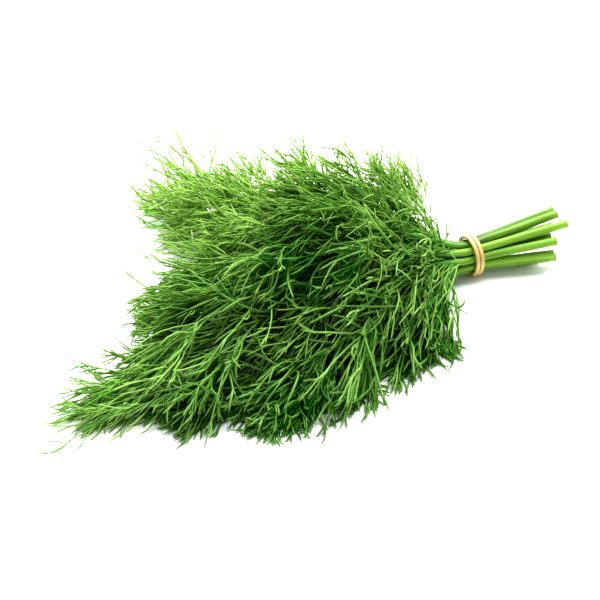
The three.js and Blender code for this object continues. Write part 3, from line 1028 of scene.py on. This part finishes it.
def floor_material():
    """Matt white paper: an even white that takes soft shadows."""
    material, tree = new_material("matt_white_paper")
    fibres = add_noise(tree, object_place(tree), 1 / (FIBRE_SIZE * MM), 2.0)
    body = add_ramp(tree, fibres, [(0.0, linear("#f4f5f6")), (1.0, linear("#fafafa"))])
    settings = {"Roughness": 0.9, "Specular IOR Level": 0.1}
    add_output(tree, add_surface(tree, settings, {"Base Color": body}))
    return material


# ---- Sizes and colours that a user would change ----


def length_property(name, description, default_mm):
    return bpy.props.FloatProperty(
        name=name, description=description, default=default_mm * MM, min=0, unit="LENGTH", precision=5
    )


def colour_property(name, description, hexcode):
    return bpy.props.FloatVectorProperty(
        name=name, description=description, default=linear(hexcode), subtype="COLOR", size=4, min=0, max=1
    )


class DillSizes(bpy.types.PropertyGroup):
    pinna_length: length_property("Pinna length", "Length of the branches of a frond", 21)
    thread_length: length_property("Thread length", "Length of the leaf threads on a pinna", 38)
    fork_length: length_property("Fork length", "Length of the forks at a thread's end", 19)
    thread_radius: length_property("Thread radius", "Radius of a leaf thread at its root", 0.46)
    pinnae: bpy.props.IntProperty(name="Pinnae", description="Pinnae on a rib", default=14, min=2)
    threads: bpy.props.IntProperty(name="Threads", description="Threads on a pinna", default=5, min=2)
    forks: bpy.props.IntProperty(name="Forks", description="Forks of a thread", default=2, min=1)
    rib_radius: length_property("Rib radius", "Radius of a frond's rib at its root", 0.6)
    floor_radius: length_property("Floor radius", "Radius of the floor", 3000)
    key_power: bpy.props.FloatProperty(
        name="Key light", description="Power of the large soft light", default=71, min=0, unit="POWER"
    )
    sky_strength: bpy.props.FloatProperty(
        name="Sky", description="Strength of the even white light", default=0.56, min=0
    )


class DillColours(bpy.types.PropertyGroup):
    # Shaded green is painted shade, mostly for threads deep in the heap and in the parting. The bright
    # and fresh greens come where the tone is high, partly at random and partly by painted light.
    shaded: colour_property("Shaded green", "Leaf threads in the heart of the bunch", "#1a6e04")
    near_bright: colour_property("Bright green", "What coarse threads brighten to", "#a4d070")
    near_fresh: colour_property("Fresh green", "Coarse threads of the fullest tone", "#469c10")
    far_bright: colour_property("Bright fine green", "What fine threads brighten to", "#b0d86c")
    far_fresh: colour_property("Fresh fine green", "Fine threads of the fullest tone", "#6ac80e")
    tip: colour_property("Tips", "The tips of the threads", "#93a36a")
    stem_deep: colour_property("Deep stem", "Dark streaks of the stems", "#1c4804")
    stem_pale: colour_property("Pale stem", "Pale streaks of the stems", "#739e2c")
    stalk: colour_property("Stalks", "Stems and ribs among the leaves", "#3f8222")
    pith: colour_property("Pith", "Fresh pith in the cut ends", "#b6c97c")
    dried: colour_property("Dried rim", "The rim of a cut end as it dries", "#8f8355")
    rubber: colour_property("Rubber", "The rubber band", "#cdb87c")
    rubber_deep: colour_property("Deep rubber", "The rubber band in its grooves", "#a38336")


def sizes_in_mm(context):
    sizes = context.scene.dill_sizes
    return lambda name: getattr(sizes, name) / MM


def colours_now(context):
    colours = context.scene.dill_colours
    return {name: tuple(getattr(colours, name)) for name in colours.__annotations__}


# ---- Operators, one for each group of like pieces ----

STEM_SEED = 2300
RIB_TAPER = 0.35
STALK_TAPER = 0.5

# Grain of a stem: streaks around it, and how long they are. Its tone is paler towards the cut end, and
# the cut dries from RIM_FROM of the radius outwards.
GRAIN_AROUND = 3.4
GRAIN_LENGTH = 22
GRAIN_SHIFTS = 50
PALE_CUT = 0.5
PALE_CUT_LENGTH = 0.16
LEAFY_BLEND = 0.08
RIM_SLOPE = 1.6
RIM_FROM = 0.5625


class DILL_OT_stems(bpy.types.Operator):
    """Grows the thirteen stems, with their cut ends, and the bare ribs of their fronds"""

    bl_idname = "dill.stems"
    bl_label = "Stems"

    def execute(self, context):
        size = sizes_in_mm(context)
        colours = colours_now(context)
        materials = [stem_material(colours), pith_material(colours)]
        stem_strand = model_stem()
        rib_strand = model_tapered(RIB_SIDES, RIB_RINGS, RIB_TAPER)
        for plant in SKELETON:
            chance = np.random.default_rng(STEM_SEED + plant["owner"])
            path = np.array([[curve_point(plant["knots"], t) for t in STEM_RINGS]])
            slim = mix(1, LEAFY_SLIM, rise(STEM_RINGS, LEAFY_START, LEAFY_SLIM_LENGTH))
            radii = np.array([[stem_radius(t) for t in STEM_RINGS]]) * slim
            parts = [self.part(stem_strand, path, radii, chance, UP, 0)]
            ribs = np.array([smooth_path(rib, len(RIB_RINGS)) for rib in plant["ribs"]])
            radii = np.full(ribs.shape[:2], size("rib_radius"))
            ribs[..., 2] = np.maximum(ribs[..., 2], radii)
            parts.append(self.part(rib_strand, ribs, radii, chance, None, 1))
            name = f"dill_stem_{plant['owner'] + 1:02d}"
            piece = make_piece(name, parts, materials)
            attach(piece, BODY)
            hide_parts(f"leafy_stem_{plant['owner'] + 1:02d}")
        return {"FINISHED"}

    @staticmethod
    def part(strand, paths, radii, chance, reference, leafy_from):
        """A strand on its paths, marked with a tone, and with coordinates that run along its grain."""
        x, y, z = strand["at"].T
        length = np.linalg.norm(np.diff(paths, axis=1), axis=2).sum(axis=1)[:, None]
        shift = chance.uniform(0, GRAIN_SHIFTS, len(paths))[:, None]
        tone = chance.uniform(0, 1, len(paths))[:, None]
        marks = {
            "tone": tone + PALE_CUT * np.clip(1 - z / PALE_CUT_LENGTH, 0, 1),
            "grain_x": x * GRAIN_AROUND + shift,
            "grain_y": y * GRAIN_AROUND,
            "grain_z": z * length / GRAIN_LENGTH,
            "leafy": np.clip((z - LEAFY_START) / LEAFY_BLEND + leafy_from, 0, 1),
            "rim": np.clip((np.hypot(x, y) - RIM_FROM) * RIM_SLOPE, 0, 1),
        }
        return strand, bend(strand, paths, radii, reference), marks


class DILL_OT_fronds(bpy.types.Operator):
    """Grows the leaf threads of every frond, one piece for each stem"""

    bl_idname = "dill.fronds"
    bl_label = "Fronds"

    def execute(self, context):
        sizes, size = context.scene.dill_sizes, sizes_in_mm(context)
        counts = {"pinna": sizes.pinnae, "thread": sizes.threads, "fork": sizes.forks}
        strands = {
            "pinna": model_tapered(STALK_SIDES, STALK_RINGS, STALK_TAPER),
            "thread": model_thread(THREAD_RINGS),
            "fork": model_thread(FORK_RINGS),
        }
        levels = {
            name: {
                **USUAL_LEVEL,
                **level,
                "count": counts[name],
                "length": size(f"{name}_length"),
                "radius": size("thread_radius") * level["thickness"],
                "strand": strands[name],
            }
            for name, level in LEVELS.items()
        }
        material = leaf_material(colours_now(context))
        grown = [frond_parts(plant, levels) for plant in SKELETON]
        places = [part[1] for parts in grown for part in parts]
        # How deep each point lies in the heap. The leaf is painted darker by it, as painted shade.
        depths = depth_inside(np.concatenate([place.reshape(-1, 3) for place in places]))
        ends = np.cumsum([place.shape[0] * place.shape[1] for place in places])
        depths = iter(np.split(depths, ends[:-1]))
        for plant, parts in zip(SKELETON, grown):
            for _, place, marks in parts:
                marks["depth"] = next(depths).reshape(place.shape[:2])
            name = f"dill_fronds_{plant['owner'] + 1:02d}"
            piece = make_piece(name, parts, [material])
            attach(piece, BODY)
            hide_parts(f"leafy_stem_{plant['owner'] + 1:02d}")
        return {"FINISHED"}


# The band's strand is lifted over itself fully within the first of these crossings, and not at all past
# the second. Its grain is drag along the strand.
BAND_LIFTED = (0.8, 2.4)
BAND_GRAIN_AROUND = 2
BAND_GRAIN_ALONG = 30


class DILL_OT_rubber_band(bpy.types.Operator):
    """Winds the rubber band twice round the stems"""

    bl_idname = "dill.rubber_band"
    bl_label = "Rubber band"

    def execute(self, context):
        strand = model_band_strand()
        turns = BAND_RINGS * BAND_TURNS
        since_lift = np.where(turns > 1, turns - BAND_TURNS, turns)
        half = BAND_CROSSING_TURNS
        near_end = np.where(np.abs(turns - 1) < 0.5, turns - 1, since_lift)
        change = smoothstep(near_end, -half, half)
        on_second = np.where(np.abs(turns - 1) < 0.5, change, 1 - change)
        lift = 1 - smoothstep(np.abs(since_lift), *(share * half for share in BAND_LIFTED))
        radius = BAND_INNER_RADIUS + BAND_THICKNESS / 2 + lift * (BAND_THICKNESS + CLEARANCE)
        angle = np.radians(BAND_CROSSING_DEG) - turns * math.tau
        path = np.stack(
            [
                BAND_FIRST_TURN_X + BAND_PITCH * on_second,
                radius * np.cos(angle),
                TIE_HEIGHT + radius * np.sin(angle),
            ],
            axis=1,
        )
        at = strand["at"]
        # A circle divided by this is nearly a square, with rounded corners.
        squareness = np.hypot(at[:, 0] ** 2, at[:, 1] ** 2) ** 0.5
        section = at[:, :2] / np.maximum(squareness, 0.5)[:, None]
        across_band = section * np.array([BAND_THICKNESS / 2, BAND_WIDTH / 2])
        shaped = {**strand, "at": np.column_stack([across_band, at[:, 2]])}
        places = bend(shaped, path[None], np.ones((1, len(path))), np.array([1.0, 0, 0]))
        places[..., 2] = np.maximum(places[..., 2], 0)
        marks = {
            "grain_x": section[:, 0] * BAND_GRAIN_AROUND,
            "grain_y": section[:, 1] * BAND_GRAIN_AROUND,
            "grain_z": at[:, 2] * BAND_GRAIN_ALONG,
        }
        rubber = rubber_material(colours_now(context))
        piece = make_piece("rubber_band_turns", [(shaped, places, marks)], [rubber])
        bpy.ops.object.select_all(action="DESELECT")
        context.view_layer.objects.active = piece
        piece.select_set(True)
        bpy.ops.object.mode_set(mode="EDIT")
        bpy.ops.mesh.select_all(action="SELECT")
        bpy.ops.mesh.remove_doubles(threshold=TOUCH * MM)
        bpy.ops.mesh.normals_make_consistent(inside=False)
        bpy.ops.object.mode_set(mode="OBJECT")
        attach(piece, BODY)
        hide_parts("rubber_band")
        return {"FINISHED"}


# The camera looks down at CAMERA_TARGET, turned from +Y towards +X. There, its view is VIEW_WIDTH wide.
# Its shift is in shares of that width, and its clipping in metres.
CAMERA_TARGET = (-110, 0, 10)
CAMERA_DISTANCE = 950
CAMERA_DOWN_DEG = 35
CAMERA_TURN_DEG = 24
CAMERA_SHIFT = (0.055, 0.0125)
CAMERA_CLIP = (0.05, 20)
VIEW_WIDTH = 287.2
SENSOR_WIDTH = 36

# The large soft light, in metres.
KEY_AT = (0.3, 0.55, 1.0)
KEY_AIM = (-0.1, 0, 0)
KEY_SIZE = 1.8

# The floor lies this far under the bunch, in millimetres.
FLOOR_GAP = 0.1


def aim(thing, target):
    """Turns a light or the camera to look at the target."""
    thing.rotation_euler = (target - thing.location).to_track_quat("-Z", "Y").to_euler()


class DILL_OT_studio(bpy.types.Operator):
    """Sets the pale floor, the soft light and the camera"""

    bl_idname = "dill.studio"
    bl_label = "Studio"

    def execute(self, context):
        scene, sizes = context.scene, context.scene.dill_sizes
        bpy.ops.object.select_all(action="DESELECT")
        bpy.ops.mesh.primitive_circle_add(
            vertices=96, radius=sizes.floor_radius, fill_type="NGON", location=(0, 0, -FLOOR_GAP * MM)
        )
        floor = context.object
        floor.name = "studio_floor"
        bpy.ops.object.transform_apply(location=True)
        floor.data.materials.append(floor_material())

        world = bpy.data.worlds.new("even_white_sky")
        scene.world = world
        world.use_nodes = True
        sky = world.node_tree.nodes["Background"]
        sky.inputs["Color"].default_value = (1, 1, 1, 1)
        sky.inputs["Strength"].default_value = sizes.sky_strength

        bpy.ops.object.light_add(type="AREA", location=KEY_AT)
        key = context.object
        key.name = "softbox_key"
        key.data.shape = "DISK"
        key.data.size = KEY_SIZE
        key.data.energy = sizes.key_power
        aim(key, Vector(KEY_AIM))

        down, turn = math.radians(CAMERA_DOWN_DEG), math.radians(CAMERA_TURN_DEG)
        level = math.cos(down)
        ahead = Vector((math.sin(turn) * level, math.cos(turn) * level, -math.sin(down)))
        target = Vector(CAMERA_TARGET) * MM
        bpy.ops.object.camera_add(location=target - ahead * CAMERA_DISTANCE * MM)
        camera = context.object
        camera.name = "studio_camera"
        aim(camera, target)
        camera.data.sensor_width = SENSOR_WIDTH
        camera.data.lens = SENSOR_WIDTH * CAMERA_DISTANCE / VIEW_WIDTH
        camera.data.shift_x, camera.data.shift_y = CAMERA_SHIFT
        camera.data.clip_start, camera.data.clip_end = CAMERA_CLIP
        scene.camera = camera
        scene.view_settings.view_transform = "Standard"
        scene.view_settings.look = "Medium High Contrast"
        return {"FINISHED"}


class DILL_PT_panel(bpy.types.Panel):
    bl_label = "Dill bunch"
    bl_idname = "DILL_PT_panel"
    bl_space_type = "VIEW_3D"
    bl_region_type = "UI"
    bl_category = "Dill"

    def draw(self, context):
        for group in (context.scene.dill_sizes, context.scene.dill_colours):
            column = self.layout.column()
            for name in group.__annotations__:
                column.prop(group, name)
        for operator in OPERATORS:
            self.layout.operator(operator.bl_idname)


OPERATORS = (DILL_OT_stems, DILL_OT_fronds, DILL_OT_rubber_band, DILL_OT_studio)
CLASSES = (DillSizes, DillColours, *OPERATORS, DILL_PT_panel)


def register():
    for one in CLASSES:
        bpy.utils.register_class(one)
    bpy.types.Scene.dill_sizes = bpy.props.PointerProperty(type=DillSizes)
    bpy.types.Scene.dill_colours = bpy.props.PointerProperty(type=DillColours)


def unregister():
    del bpy.types.Scene.dill_colours
    del bpy.types.Scene.dill_sizes
    for one in reversed(CLASSES):
        bpy.utils.unregister_class(one)


def main():
    register()
    bpy.ops.dill.stems()
    bpy.ops.dill.fronds()
    bpy.ops.dill.rubber_band()
    bpy.ops.dill.studio()


if __name__ == "__main__":
    main()
